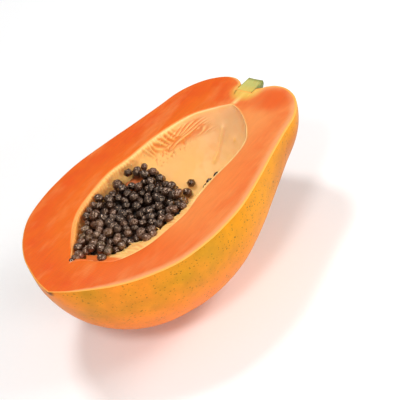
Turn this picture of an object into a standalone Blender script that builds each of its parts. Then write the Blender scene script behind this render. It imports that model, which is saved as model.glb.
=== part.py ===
"""Papaya half: a ripe papaya cut lengthwise, lying on its belly with the cut face up.

The fruit is one solid of rind and flesh, with the open seed cavity in it. The heap of seeds in the
cavity and the halved stub of stalk are solids of their own. Lengths are in metres. +X runs from the
blossom tip to the stalk, +Z is up, and the origin is under the middle of the part, on the table.
"""

import math
import random

import bmesh
import bpy
from mathutils import Euler, Matrix, Vector
from mathutils.bvhtree import BVHTree

# Driving sizes.
TOTAL_LENGTH = 0.213          # blossom tip to the end of the stalk stub
HALF_WIDTH = 0.0699           # widest half width of the cut face
FULLER_NEAR = 0.0165          # share by which the near side is fuller, and the far side slimmer
BELLY_DEPTH = 0.0768          # cut face down to the lowest point of the round belly
FLAT_SPOT = 0.0014            # how much of the belly is pressed flat where it rests
CAVITY_DEPTH_SHARE = 0.98     # cavity depth over the half width of its steep wall
WALL_ROUNDNESS = 2.25         # 2 is an ellipse, more is boxier
NEAR_LIP_SLOPE = 0.14         # fall of the soft band between the near rim and the steep wall
FAR_LIP_SLOPE = 0.48          # and of the one inside the far rim
STALK_RADIUS = 0.0078
STALK_NEAR_SHARE = 0.68       # the stalk's near side is slimmer by this share
SEED_LENGTH = 0.0068          # a seed in its jelly coat
SEED_WIDTH = 0.0058
GAP = 0.0003                  # clearance between two solids that touch

CUT_HEIGHT = BELLY_DEPTH - FLAT_SPOT
MID_ACROSS = HALF_WIDTH * FULLER_NEAR
DOWN = Vector((0, 0, -1))

# Half outline of the cut face, from the blossom tip over the shoulder into the stalk's socket, as
# shares of the total length and of the half width.
OUTLINE = (
    (0.0000, 0.000), (0.0225, 0.190), (0.0540, 0.375), (0.0940, 0.565), (0.1550, 0.755),
    (0.2350, 0.910), (0.3290, 0.983), (0.4130, 1.000), (0.4980, 0.984), (0.6100, 0.904),
    (0.7040, 0.824), (0.7980, 0.750), (0.8690, 0.701), (0.9200, 0.622), (0.9600, 0.508),
    (0.9840, 0.365), (0.9860, 0.240), (0.9740, 0.155),
)
# Depth of the belly over the half width, by distance from the blossom tip. The knife ran a little off
# the fruit's axis, so the belly is deeper than wide in the middle and shallower at the stalk. Both
# ends are round up to the half width ROUND_END, and change over to the share within ROUND_BLEND.
BELLY_SHARES = (
    (0.000, 1.155), (0.025, 1.090), (0.055, 1.048), (0.090, 1.095), (0.125, 1.107), (0.160, 1.025),
    (0.190, 0.820), (0.213, 0.620),
)
ROUND_END = 0.009
ROUND_BLEND = 0.020
SOCKET_LIP_X = 0.2045         # where the shoulder meets the stalk
SOCKET_END_X = 0.1997         # bottom of the stalk's socket

# Rim of the seed cavity on each side, from its slit at the blossom end to the stalk end, as distance
# from the blossom tip and distance across, positive to the near side. The two sides differ.
CAVITY_TIP = (0.0245, -0.0045)
CAVITY_END = (0.1855, -0.0010)
NEAR_RIM = (
    (0.0285, -0.0020), (0.0320, 0.0070), (0.0337, 0.0165), (0.0375, 0.0235), (0.0440, 0.0285),
    (0.0510, 0.0323), (0.0590, 0.0350), (0.0700, 0.0366), (0.0860, 0.0383), (0.1030, 0.0360),
    (0.1200, 0.0348), (0.1400, 0.0352), (0.1560, 0.0325), (0.1680, 0.0245), (0.1775, 0.0140),
    (0.1825, 0.0065),
)
FAR_RIM = (
    (0.0320, -0.0095), (0.0440, -0.0190), (0.0560, -0.0280), (0.0680, -0.0337), (0.0840, -0.0370),
    (0.1030, -0.0386), (0.1200, -0.0352), (0.1390, -0.0328), (0.1560, -0.0280), (0.1700, -0.0210),
    (0.1800, -0.0095),
)
# Width of the soft band inside the rim, by distance from the blossom tip: near side, far side. By
# the slit the near band widens to a tongue that leaves only a narrow way for the seeds.
LIP_WIDTHS = (
    (0.024, 0.0002, 0.0002), (0.029, 0.0045, 0.0008), (0.032, 0.0110, 0.0010),
    (0.0337, 0.0205, 0.0010), (0.0375, 0.0265, 0.0012), (0.0388, 0.0265, 0.0012),
    (0.041, 0.0125, 0.0013), (0.048, 0.0125, 0.0015), (0.055, 0.0110, 0.0016),
    (0.060, 0.0068, 0.0016), (0.065, 0.0056, 0.0016), (0.076, 0.0078, 0.0016),
    (0.084, 0.0060, 0.0016), (0.093, 0.0042, 0.0016), (0.104, 0.0030, 0.0016),
    (0.116, 0.0016, 0.0016), (0.150, 0.0010, 0.0016), (0.186, 0.0003, 0.0003),
)
LIP_MOST = 1.3                # of half the cavity's width

# Mesh fineness.
ROWS = 36
SOCKET_ROWS = 3
BELLY_STEPS = 24
WALL_STEPS = 14
FACE_STEPS = 2
STALK_STEPS = 12
SMOOTHING = 8

# Outline of the heap, through the centres of its top seeds: distance from the blossom tip and
# distance across. A narrow tail runs to the slit, and the heap falls off freely towards the stalk.
HEAP_OUTLINE = (
    (0.0350, -0.0085), (0.0365, -0.0110), (0.0440, -0.0145), (0.0560, -0.0190), (0.0670, -0.0265),
    (0.0720, -0.0310), (0.0830, -0.0325), (0.0900, -0.0265), (0.0990, -0.0290), (0.1105, -0.0290),
    (0.1175, -0.0220), (0.1160, -0.0140), (0.1125, -0.0045), (0.1075, 0.0085), (0.1015, 0.0160),
    (0.0930, 0.0275), (0.0880, 0.0250), (0.0820, 0.0275), (0.0710, 0.0240), (0.0660, 0.0275),
    (0.0620, 0.0255), (0.0520, 0.0150), (0.0400, 0.0105), (0.0430, 0.0050), (0.0450, -0.0040),
)
HEAP_TOP = 0.0030             # depth of the top seeds' centres under the cut face
HEAP_SLOPE = 3.20             # fall of the heap outside its outline
HEAP_DIP = ((0.0900, -0.0040), 0.0180, 0.0050)  # place, radius and depth of the hollow in its top
HEAP_AREA = ((0.015, -0.042), (0.165, 0.042))   # within this, distance from the tip and across
SEED_SPACING = 0.0048
SEED_JITTER = 0.0010
SEED_CLEARANCE = 0.00045      # between a seed of the heap and the cavity's wall
SEED_SEGMENTS = 5
SEED_RINGS = 4
SEED_DRAWS = 12000
RANDOM_SEED = 7
CORE_UNDER_SEEDS = 0.0020
CORE_CLEARANCE = 0.0004       # between the core and the cavity's wall
RIM_RAISE = 3                 # rim of the core's mould over the cut face, in clearances
CORE_CELL = 0.0040            # size of a facet on the heap's core
MOULD_DEPTH = 0.060           # deeper than the cavity

# Seeds that lie apart from the heap, roughly: distance from the blossom tip, distance across, depth
# and size. Each is set onto the nearest wall.
STRAY_SEEDS = (
    (0.1377, -0.0086, 0.0280, 1.00), (0.1300, -0.0065, 0.0300, 1.00),
    (0.1105, 0.0330, 0.0052, 1.00), (0.1198, 0.0325, 0.0056, 0.95), (0.1262, 0.0325, 0.0060, 0.90),
    (0.0290, -0.0060, 0.0022, 0.55),
)
STRAY_SINK = 0.25             # share of its radius that a stray seed is sunk in the wall


def clear_scene():
    for item in list(bpy.data.objects):
        bpy.data.objects.remove(item, do_unlink=True)


def linear(hex_colour):
    """Linear RGBA of an sRGB hex colour."""
    channels = [int(hex_colour[i:i + 2], 16) / 255 for i in (0, 2, 4)]
    return [c / 12.92 if c <= 0.04045 else ((c + 0.055) / 1.055) ** 2.4 for c in channels] + [1.0]


def material(name, hex_colour, roughness):
    made = bpy.data.materials.new(name)
    made.use_nodes = True
    shader = made.node_tree.nodes["Principled BSDF"]
    shader.inputs["Base Color"].default_value = linear(hex_colour)
    shader.inputs["Roughness"].default_value = roughness
    made.diffuse_color = linear(hex_colour)
    return made


def smooth_line(points):
    """A Catmull-Rom line through the points, with SMOOTHING pieces between each two."""
    ends = [points[0], *points, points[-1]]
    line = []
    for a, b, c, d in zip(ends, ends[1:], ends[2:], ends[3:]):
        for k in range(SMOOTHING):
            t = k / SMOOTHING
            bend = (a * 2 - b * 5 + c * 4 - d) * t ** 2 + (b * 3 - a - c * 3 + d) * t ** 3
            line.append((b * 2 + (c - a) * t + bend) / 2)
    return line + [points[-1]]


def evenly(line, count):
    """count + 1 points along the line, the same distance apart."""
    reach = [0.0]
    for a, b in zip(line, line[1:]):
        reach.append(reach[-1] + (b - a).length)
    places = []
    k = 0
    for i in range(count + 1):
        want = reach[-1] * i / count
        while k < len(line) - 2 and reach[k + 1] < want:
            k += 1
        share = (want - reach[k]) / (reach[k + 1] - reach[k])
        places.append(line[k].lerp(line[k + 1], min(share, 1.0)))
    return places


def at_station(table, x, column):
    """Value of one column of the table at x, in straight lines between its rows."""
    for low, high in zip(table, table[1:]):
        if x <= high[0]:
            share = max(x - low[0], 0.0) / (high[0] - low[0])
            return low[column] + (high[column] - low[column]) * share
    return table[-1][column]


def placed(from_tip, across, depth):
    """A point by its distance from the blossom tip, across to the near side and under the cut face."""
    return Vector((from_tip - TOTAL_LENGTH / 2, MID_ACROSS - across, CUT_HEIGHT - depth))


def outline_points():
    """Half outline of the fruit as (distance from the tip, half width), down into the socket."""
    shoulder = smooth_line([Vector((x * TOTAL_LENGTH, r * HALF_WIDTH)) for x, r in OUTLINE])
    socket_radius = STALK_RADIUS + GAP
    return evenly(shoulder, ROWS - SOCKET_ROWS) + [
        Vector((SOCKET_LIP_X, socket_radius)),
        Vector((SOCKET_END_X, socket_radius)),
        Vector((SOCKET_END_X, 0.0)),
    ]


def belly_section(point):
    """Half ring of points round the belly at one point of the outline, from the near side."""
    shares = smooth_line([Vector(p) for p in BELLY_SHARES])
    blend = min(max((point.y - ROUND_END) / ROUND_BLEND, 0.0), 1.0)
    share = 1 + (at_station(shares, point.x, 1) - 1) * blend
    in_socket = point.x <= SOCKET_LIP_X and point.y <= STALK_RADIUS + GAP and point.x > TOTAL_LENGTH / 2
    ring = []
    for k in range(BELLY_STEPS + 1):
        turn = math.pi * k / BELLY_STEPS
        fuller = 1 + FULLER_NEAR * math.cos(turn)
        if in_socket and math.cos(turn) > 0:
            fuller *= STALK_NEAR_SHARE
        depth = point.y * share * math.sin(turn)
        ring.append(placed(point.x, point.y * fuller * math.cos(turn), depth))
    return ring


def rim_points(rim):
    """One side of the cavity's rim as (distance from the tip, across), evenly spaced."""
    return evenly(smooth_line([Vector(p) for p in (CAVITY_TIP, *rim, CAVITY_END)]), ROWS)


def wall_section(near, far, inset):
    """Points across the cavity from its near rim, down its wall and up to its far rim.

    An inset makes the form smaller by it all round, and raises the rim over the cut face.
    """
    middle = (near.y + far.y) / 2
    room = max((near.y - far.y) / 2 - inset, inset / 2)
    near_lip = min(at_station(LIP_WIDTHS, near.x, 1), room * LIP_MOST)
    far_lip = min(at_station(LIP_WIDTHS, far.x, 2), room * LIP_MOST)
    half = room - (near_lip + far_lip) / 2
    shift = (far_lip - near_lip) / 2
    deepest = half * CAVITY_DEPTH_SHARE
    power = 2 / WALL_ROUNDNESS
    rim_depth = -inset * RIM_RAISE
    section = [placed(near.x, middle + room, rim_depth)]
    for k in range(WALL_STEPS + 1):
        turn = math.pi * k / WALL_STEPS
        share = (1 - math.cos(turn)) / 2
        top = near_lip * NEAR_LIP_SLOPE * (1 - share) + far_lip * FAR_LIP_SLOPE * share
        across = math.copysign(abs(math.cos(turn)) ** power, math.cos(turn)) * half
        depth = top + (deepest - top) * math.sin(turn) ** power
        from_tip = near.x + (far.x - near.x) * share
        section.append(placed(from_tip, middle + shift + across, depth - inset))
    return section + [placed(far.x, middle - room, rim_depth)]


def add_grid(mesh, rows, start, end):
    """Faces between rows of vertices, closed on a single vertex at each end."""
    faces = []
    for row, following in zip(rows, rows[1:]):
        for k in range(len(row) - 1):
            faces.append(mesh.faces.new((row[k], row[k + 1], following[k + 1], following[k])))
    for k in range(len(rows[0]) - 1):
        faces.append(mesh.faces.new((start, rows[0][k + 1], rows[0][k])))
        faces.append(mesh.faces.new((end, rows[-1][k], rows[-1][k + 1])))
    return faces


def rim_loop(rows, start, end):
    """The closed border of a grid: up its near side and back down its far side."""
    return [start, *[row[0] for row in rows], end, *[row[-1] for row in reversed(rows)]]


def add_points(mesh, points):
    return [mesh.verts.new(p) for p in points]


def finish(mesh, name, materials, sharp_angle):
    """Turns a bmesh into an object with its faces pointing out and its round faces smooth."""
    bmesh.ops.recalc_face_normals(mesh, faces=mesh.faces)
    data = bpy.data.meshes.new(name)
    mesh.to_mesh(data)
    mesh.free()
    for item in materials:
        data.materials.append(item)
    data.shade_smooth()
    data.set_sharp_from_angle(angle=math.radians(sharp_angle))
    made = bpy.data.objects.new(name, data)
    bpy.context.scene.collection.objects.link(made)
    return made


def add_cavity_wall(mesh, inset):
    """The wall of the cavity, and its rim as a loop of vertices."""
    near_rim, far_rim = rim_points(NEAR_RIM), rim_points(FAR_RIM)
    pairs = zip(near_rim[1:-1], far_rim[1:-1])
    rows = [add_points(mesh, wall_section(near, far, inset)) for near, far in pairs]
    rim_depth = -inset * RIM_RAISE
    slit, end = add_points(mesh, [placed(*near_rim[k], rim_depth) for k in (0, -1)])
    return add_grid(mesh, rows, slit, end), rim_loop(rows, slit, end)


def press_belly_flat(mesh):
    """Cuts the round belly off level with the table and closes it with one flat face."""
    everything = [*mesh.verts, *mesh.edges, *mesh.faces]
    cut = bmesh.ops.bisect_plane(mesh, geom=everything, plane_no=DOWN, clear_outer=True)
    edges = [item for item in cut["geom_cut"] if isinstance(item, bmesh.types.BMEdge)]
    bmesh.ops.contextual_create(mesh, geom=edges)


def build_fruit():
    """Rind and flesh in one solid: round belly, flat cut face and seed cavity."""
    mesh = bmesh.new()
    outline = outline_points()
    belly_rows = [add_points(mesh, belly_section(p)) for p in outline[1:-1]]
    tip, notch = add_points(mesh, [placed(outline[0].x, 0, 0), placed(outline[-1].x, 0, 0)])
    add_grid(mesh, belly_rows, tip, notch)
    lining, inner = add_cavity_wall(mesh, 0)

    outer = rim_loop(belly_rows, tip, notch)
    loops = [outer]
    for step in range(1, FACE_STEPS):
        share = step / FACE_STEPS
        loops.append(add_points(mesh, [a.co.lerp(b.co, share) for a, b in zip(outer, inner)]))
    loops.append(inner)
    face_ring = []
    for loop, following in zip(loops, loops[1:]):
        for k in range(len(loop)):
            after = (k + 1) % len(loop)
            face_ring.append(mesh.faces.new((loop[k], loop[after], following[after], following[k])))
    for face in face_ring:
        face.material_index = 1
    for face in lining:
        face.material_index = 2
    press_belly_flat(mesh)
    return finish(mesh, "papaya_half", [
        material("ripe rind", "E79A32", 0.42),
        material("ripe flesh", "F4743A", 0.38),
        material("cavity lining", "FAB566", 0.50),
    ], sharp_angle=40)


def seed_mesh(place, size, turn):
    """One seed: an egg-shaped ball with few sides."""
    mesh = bmesh.new()
    bmesh.ops.create_uvsphere(mesh, u_segments=SEED_SEGMENTS, v_segments=SEED_RINGS, radius=0.5)
    scale = Matrix.Diagonal((SEED_WIDTH * size, SEED_WIDTH * size, SEED_LENGTH * size, 1))
    bmesh.ops.transform(mesh, matrix=Matrix.Translation(place) @ turn.to_4x4() @ scale, verts=mesh.verts)
    return mesh


def any_turn(draws):
    return Euler([draws.uniform(0, 2 * math.pi) for _ in range(3)]).to_matrix()


def outside_outline(place):
    """Distance from a place to the heap's outline, 0 inside it."""
    inside = False
    nearest = math.inf
    corners = [Vector(p) for p in HEAP_OUTLINE]
    for a, b in zip(corners, corners[1:] + corners[:1]):
        along = b - a
        share = min(max((place - a).dot(along) / along.length_squared, 0.0), 1.0)
        nearest = min(nearest, (place - a - along * share).length)
        if (a.y > place.y) != (b.y > place.y):
            if place.x < a.x + along.x * (place.y - a.y) / along.y:
                inside = not inside
    return 0.0 if inside else nearest


def heap_depth(from_tip, across):
    """Depth under the cut face of the top seeds' centres."""
    place = Vector((from_tip, across))
    centre, radius, depth = HEAP_DIP
    dip = depth * math.exp(-((place - Vector(centre)).length / radius) ** 2)
    return HEAP_TOP + dip + HEAP_SLOPE * outside_outline(place)


def scatter_seeds(wall, draws):
    """Places for the seeds that show on the heap: on its top surface, clear of the cavity's wall."""
    reach = SEED_LENGTH / 2 + SEED_CLEARANCE
    places = []
    for _ in range(SEED_DRAWS):
        from_tip, across = [draws.uniform(low, high) for low, high in zip(*HEAP_AREA)]
        depth = heap_depth(from_tip, across) + draws.uniform(-SEED_JITTER, SEED_JITTER)
        under = wall.ray_cast(placed(from_tip, across, 0), DOWN)
        if under[0] is None or under[3] < depth + reach:
            continue
        centre = placed(from_tip, across, depth)
        free = wall.find_nearest(centre)[3] > reach
        if free and all((centre - other).length > SEED_SPACING for other in places):
            places.append(centre)
    return places


def join(base, pieces, solver):
    """Unites the pieces with the base, and removes them."""
    group = bpy.data.collections.new("pieces")
    for piece in pieces:
        group.objects.link(piece)
    union = base.modifiers.new("join", "BOOLEAN")
    union.operand_type = "COLLECTION"
    union.collection = group
    union.operation = "UNION"
    union.solver = solver
    apply_modifiers(base)
    for piece in pieces:
        bpy.data.objects.remove(piece, do_unlink=True)
    bpy.data.collections.remove(group)


def apply_modifiers(item):
    """Makes the object's modifiers final."""
    shapes = bpy.context.evaluated_depsgraph_get()
    made = bpy.data.meshes.new_from_object(item.evaluated_get(shapes), depsgraph=shapes)
    item.modifiers.clear()
    old = item.data
    item.data = made
    bpy.data.meshes.remove(old)
    made.name = item.name


def keep_largest_body(item):
    """Drops loose scraps and fills sealed hollows, which are the smaller shells of the mesh."""
    mesh = bmesh.new()
    mesh.from_mesh(item.data)
    bodies = []
    waiting = set(mesh.faces)
    while waiting:
        body = []
        border = [waiting.pop()]
        while border:
            face = border.pop()
            body.append(face)
            for edge in face.edges:
                for other in edge.link_faces:
                    if other in waiting:
                        waiting.remove(other)
                        border.append(other)
        bodies.append(body)
    bodies.sort(key=len)
    for body in bodies[:-1]:
        bmesh.ops.delete(mesh, geom=body, context="FACES")
    mesh.to_mesh(item.data)
    mesh.free()


def heap_surface_block():
    """A block with the heap's surface on top and a flat bottom below the cavity."""
    (low_x, low_across), (high_x, high_across) = HEAP_AREA
    columns = round((high_x - low_x) / CORE_CELL)
    lines = round((high_across - low_across) / CORE_CELL)
    mesh = bmesh.new()
    rows = []
    for i in range(columns + 1):
        from_tip = low_x + (high_x - low_x) * i / columns
        row = []
        for j in range(lines + 1):
            across = high_across + (low_across - high_across) * j / lines
            depth = min(heap_depth(from_tip, across) + CORE_UNDER_SEEDS, MOULD_DEPTH)
            row.append(placed(from_tip, across, depth))
        rows.append(add_points(mesh, row))
    for row, following in zip(rows, rows[1:]):
        for k in range(lines):
            mesh.faces.new((row[k], row[k + 1], following[k + 1], following[k]))
    skirt = bmesh.ops.extrude_face_region(mesh, geom=mesh.faces[:])
    for vert in [item for item in skirt["geom"] if isinstance(item, bmesh.types.BMVert)]:
        vert.co.z = CUT_HEIGHT - MOULD_DEPTH * 1.1
    return finish(mesh, "heap surface", [], sharp_angle=30)


def build_heap_core():
    """The heap without its seeds: the cavity's form, a gap smaller, cut off by the heap's surface."""
    mesh = bmesh.new()
    _, lid = add_cavity_wall(mesh, CORE_CLEARANCE)
    mesh.faces.new(lid)
    core = finish(mesh, "seed_heap", [material("seed pulp", "3A2B22", 0.45)], sharp_angle=30)

    block = heap_surface_block()
    trim = core.modifiers.new("trim", "BOOLEAN")
    trim.operation = "INTERSECT"
    trim.object = block
    apply_modifiers(core)
    bpy.data.objects.remove(block, do_unlink=True)
    return core


def as_pieces(meshes, finish_with):
    return [finish(mesh, "piece", [finish_with], sharp_angle=30) for mesh in meshes]


def build_seed_heap(wall):
    """The heap of seeds in its pulp: the core with every seed that shows."""
    draws = random.Random(RANDOM_SEED)
    heap = build_heap_core()
    dark = heap.data.materials[0]
    seeds = [seed_mesh(p, 1.0, any_turn(draws)) for p in scatter_seeds(wall, draws)]
    join(heap, as_pieces(seeds, dark), "MANIFOLD")
    keep_largest_body(heap)
    return heap


def add_stray_seeds(fruit, wall):
    """Seeds that stick to the wall of the cavity, apart from the heap."""
    draws = random.Random(RANDOM_SEED)
    dark = material("stray seed", "3A2B22", 0.35)
    fruit.data.materials.append(dark)
    seeds = []
    for from_tip, across, depth, size in STRAY_SEEDS:
        near_by = placed(from_tip, across, depth)
        foot = wall.find_nearest(near_by)[0]
        centre = foot + (near_by - foot).normalized() * SEED_WIDTH * size * (1 - STRAY_SINK) / 2
        seeds.append(seed_mesh(centre, size, any_turn(draws)))
    join(fruit, as_pieces(seeds, dark), "EXACT")
    keep_largest_body(fruit)


def cavity_wall_shape():
    """The bare wall of the cavity, to measure distances from."""
    mesh = bmesh.new()
    add_cavity_wall(mesh, 0)
    wall = BVHTree.FromBMesh(mesh)
    mesh.free()
    return wall


def build_stalk_stub():
    """Half of the stalk, cut flush with the cut face, in its socket."""
    mesh = bmesh.new()
    ends = []
    for x in (SOCKET_END_X + GAP, TOTAL_LENGTH):
        turns = [math.pi * k / STALK_STEPS for k in range(STALK_STEPS + 1)]
        shares = [STALK_NEAR_SHARE if math.cos(turn) > 0 else 1.0 for turn in turns]
        ends.append(add_points(mesh, [
            placed(x, STALK_RADIUS * share * math.cos(turn), STALK_RADIUS * math.sin(turn))
            for share, turn in zip(shares, turns)
        ]))
    for k in range(STALK_STEPS):
        mesh.faces.new((ends[0][k], ends[0][k + 1], ends[1][k + 1], ends[1][k]))
    mesh.faces.new((ends[0][0], ends[1][0], ends[1][-1], ends[0][-1]))
    for end in ends:
        mesh.faces.new(end)
    return finish(mesh, "stalk_stub", [material("green stalk", "9DB56A", 0.55)], sharp_angle=40)


clear_scene()
cavity_wall = cavity_wall_shape()
papaya = build_fruit()
add_stray_seeds(papaya, cavity_wall)
build_seed_heap(cavity_wall)
build_stalk_stub()
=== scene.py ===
import math
import random
from functools import partial

import bmesh
import bpy
import numpy as np
from mathutils import Matrix, Vector
from mathutils.bvhtree import BVHTree
from mathutils.kdtree import KDTree


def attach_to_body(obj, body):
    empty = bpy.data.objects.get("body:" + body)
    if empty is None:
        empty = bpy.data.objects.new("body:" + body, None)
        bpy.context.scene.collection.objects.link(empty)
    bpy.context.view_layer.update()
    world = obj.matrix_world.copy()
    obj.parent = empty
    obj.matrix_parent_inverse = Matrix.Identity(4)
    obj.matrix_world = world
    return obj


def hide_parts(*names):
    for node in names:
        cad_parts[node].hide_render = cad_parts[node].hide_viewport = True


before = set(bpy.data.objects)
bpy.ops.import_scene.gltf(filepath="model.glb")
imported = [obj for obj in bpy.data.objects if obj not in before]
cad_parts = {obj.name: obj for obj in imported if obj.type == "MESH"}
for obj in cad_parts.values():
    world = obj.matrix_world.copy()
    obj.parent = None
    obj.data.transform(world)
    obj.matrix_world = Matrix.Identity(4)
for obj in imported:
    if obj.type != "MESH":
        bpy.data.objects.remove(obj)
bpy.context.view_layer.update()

# Sizes in metres. A place on the fruit is told by its distance from the blossom tip, its distance
# across from the middle line (positive to the near side) and its depth under the cut face.
fruit = {
    "length": 0.213,
    "halfWidth": 0.0699,
    "fullerNear": 0.0165,        # the near side is this share fuller, the far side slimmer
    "cutHeight": 0.0754,
    "outline": (
        (0.0000, 0.000), (0.0225, 0.190), (0.0540, 0.375), (0.0940, 0.565), (0.1550, 0.755),
        (0.2350, 0.910), (0.3290, 0.983), (0.4130, 1.000), (0.4980, 0.984), (0.6100, 0.904),
        (0.7040, 0.824), (0.7980, 0.750), (0.8690, 0.701), (0.9200, 0.622), (0.9600, 0.508),
        (0.9840, 0.365), (0.9860, 0.240), (0.9740, 0.155),
    ),
    "bellyShares": (
        (0.000, 1.155), (0.025, 1.090), (0.055, 1.048), (0.090, 1.095), (0.125, 1.107),
        (0.160, 1.025), (0.190, 0.820), (0.213, 0.620),
    ),
    "roundEnd": 0.009,           # half width up to which both ends are round in section
    "roundBlend": 0.020,
    "socketLip": 0.2045,         # where the shoulder meets the stalk
    "socketEnd": 0.1997,
    "socketRadius": 0.0081,
    "socketNear": 0.68,          # the stalk and its socket are slimmer on the near side
    "socketRows": 12,
    "rows": 280,
    "bellySteps": 72,
    "wallSteps": 190,
    "edgeRound": 0.0004,         # how far the knife's edge of the skin is rounded down
    "rimRound": 0.0005,
    # rows of the cut face along the skin and along the cavity: their distance, and their share of
    # the rounding of that edge
    "skinSide": ((0.0004, 0.35), (0.0010, 0.08), (0.0020, 0), (0.0036, 0)),
    "rimSide": ((0.0040, 0), (0.0022, 0), (0.0012, 0.07), (0.0005, 0.32)),
    "faceSteps": 14,             # and the steps between them
    "edgeSamples": 6000,
    "farOff": 0.05,              # more than any distance that the colours ask for
    "skinLump": 0.0004,          # soft unevenness of the skin
    "faceLump": 0.00018,         # and of the cut face
}
cavity = {
    "tip": (0.0245, -0.0045),
    "end": (0.1855, -0.0010),
    "nearRim": (
        (0.0285, -0.0020), (0.0320, 0.0070), (0.0337, 0.0165), (0.0375, 0.0235), (0.0440, 0.0285),
        (0.0510, 0.0323), (0.0590, 0.0350), (0.0700, 0.0366), (0.0860, 0.0383), (0.1030, 0.0360),
        (0.1200, 0.0348), (0.1400, 0.0352), (0.1560, 0.0325), (0.1680, 0.0245), (0.1775, 0.0140),
        (0.1825, 0.0065),
    ),
    "farRim": (
        (0.0320, -0.0095), (0.0440, -0.0190), (0.0560, -0.0280), (0.0680, -0.0337),
        (0.0840, -0.0370), (0.1030, -0.0386), (0.1200, -0.0352), (0.1390, -0.0328),
        (0.1560, -0.0280), (0.1700, -0.0210), (0.1800, -0.0095),
    ),
    # width of the soft band inside the rim, on the near side and on the far side
    "lipWidths": (
        (0.024, 0.0002, 0.0002), (0.029, 0.0045, 0.0008), (0.032, 0.0110, 0.0010),
        (0.0337, 0.0205, 0.0010), (0.0375, 0.0265, 0.0012), (0.0388, 0.0265, 0.0012),
        (0.041, 0.0125, 0.0013), (0.048, 0.0125, 0.0015), (0.055, 0.0110, 0.0016),
        (0.060, 0.0068, 0.0016), (0.065, 0.0056, 0.0016), (0.076, 0.0078, 0.0016),
        (0.084, 0.0060, 0.0016), (0.093, 0.0042, 0.0016), (0.104, 0.0030, 0.0016),
        (0.116, 0.0016, 0.0016), (0.150, 0.0010, 0.0016), (0.186, 0.0003, 0.0003),
    ),
    "lipMost": 1.3,
    "nearLipSlope": 0.14,
    "farLipSlope": 0.48,
    "roundness": 2.25,
    "depthShare": 0.98,
}
middleAcross = fruit["halfWidth"] * fruit["fullerNear"]
cutHeight = fruit["cutHeight"]


def linear(hexColour):
    channels = [int(hexColour[i:i + 2], 16) / 255 for i in (0, 2, 4)]
    return [c / 12.92 if c <= 0.04045 else ((c + 0.055) / 1.055) ** 2.4 for c in channels] + [1.0]


def placed(fromTip, across, under):
    fromTip, across, under = np.broadcast_arrays(fromTip, across, under)
    return np.stack([
        fromTip - fruit["length"] / 2, middleAcross - across, cutHeight - under,
    ], axis=-1).astype(float)


def spotAt(*at):
    return Vector(placed(*at).tolist())


def onFruit(points):
    # the other way round: distance from the tip, across and under the cut face
    return (points[..., 0] + fruit["length"] / 2, middleAcross - points[..., 1],
            cutHeight - points[..., 2])


def smoothLine(points, pieces=16):
    # Catmull-Rom
    p = np.asarray(points, float)
    p = np.vstack([p[:1], p, p[-1:]])
    t = (np.arange(pieces) / pieces)[:, None]
    parts = []
    for a, b, c, d in zip(p, p[1:], p[2:], p[3:]):
        bend = (2 * a - 5 * b + 4 * c - d) * t ** 2 + (3 * b - a - 3 * c + d) * t ** 3
        parts.append((2 * b + (c - a) * t + bend) / 2)
    return np.vstack([*parts, p[-1:]])


def evenly(line, count):
    steps = np.linalg.norm(np.diff(line, axis=0), axis=1)
    reach = np.concatenate([[0], np.cumsum(steps)])
    want = np.linspace(0, reach[-1], count + 1)
    return np.column_stack([np.interp(want, reach, column) for column in line.T])


def smoothStep(low, high, x):
    t = np.clip((x - low) / (high - low), 0, 1)
    return t * t * (3 - 2 * t)


def wave(turns, sharpness):
    # between 0 and 1, once a turn
    return (0.5 + 0.5 * np.cos(2 * math.pi * turns)) ** sharpness


def softNoise(points, size, seed):
    # smooth random values between -1 and 1 with features of about this size, in up to 3 dimensions
    draws = np.random.default_rng(seed)
    table = draws.uniform(-1, 1, 4096)
    p = np.asarray(points, float) / size + 512.37
    cell = np.floor(p).astype(np.int64)
    t = p - cell
    t = t * t * (3 - 2 * t)
    total = 0
    for corner in range(2 ** p.shape[-1]):
        bits = [(corner >> k) & 1 for k in range(p.shape[-1])]
        spot = sum((cell[..., k] + bits[k]) * prime
                   for k, prime in zip(range(len(bits)), (73856093, 19349663, 83492791)))
        weight = 1
        for k, bit in enumerate(bits):
            weight = weight * (t[..., k] if bit else 1 - t[..., k])
        total = total + weight * table[(spot ^ (spot >> 13)) % 4096]
    return total


def gridNormals(grid):
    # normals of a grid of points, along the grid's second axis turned into its first
    along = np.gradient(grid, axis=0)
    down = np.gradient(grid, axis=1)
    normal = np.cross(along, down)
    size = np.linalg.norm(normal, axis=-1, keepdims=True)
    return normal / np.maximum(size, 1e-12)


def newObject(name, data):
    made = bpy.data.objects.new(name, data)
    bpy.context.scene.collection.objects.link(made)
    return made


def fill(tree, pairs):
    # gives each socket its value, or a link from a socket or from a node's first output
    for socket, value in pairs:
        if isinstance(value, bpy.types.Node):
            value = next(out for out in value.outputs if out.enabled)
        if isinstance(value, bpy.types.NodeSocket):
            tree.links.new(value, socket)
        elif value is not None:
            socket.default_value = value


def addNode(tree, kind, *inputs, stops=(), **settings):
    # adds a node and sets it and its colour stops, the ramp's own two ends first; inputs come in the
    # node's order, None for unchanged, and a second word in the kind is the node's operation
    kind, *operation = kind.split()
    full = kind.startswith(("Geometry", "Function", "NodeGroup"))
    node = tree.nodes.new(kind if full else "ShaderNode" + kind)
    if operation:
        node.operation = operation[0]
    for name, value in settings.items():
        setattr(node, name, value)
    for k, (at, colour) in enumerate(stops):
        ramp = node.color_ramp.elements
        stop = ramp[k] if k < 2 else ramp.new(at)
        stop.position = at
        stop.color = colour if isinstance(colour, list) else (colour, colour, colour, 1)
    fill(tree, zip([socket for socket in node.inputs if socket.enabled], inputs))
    return node


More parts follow.
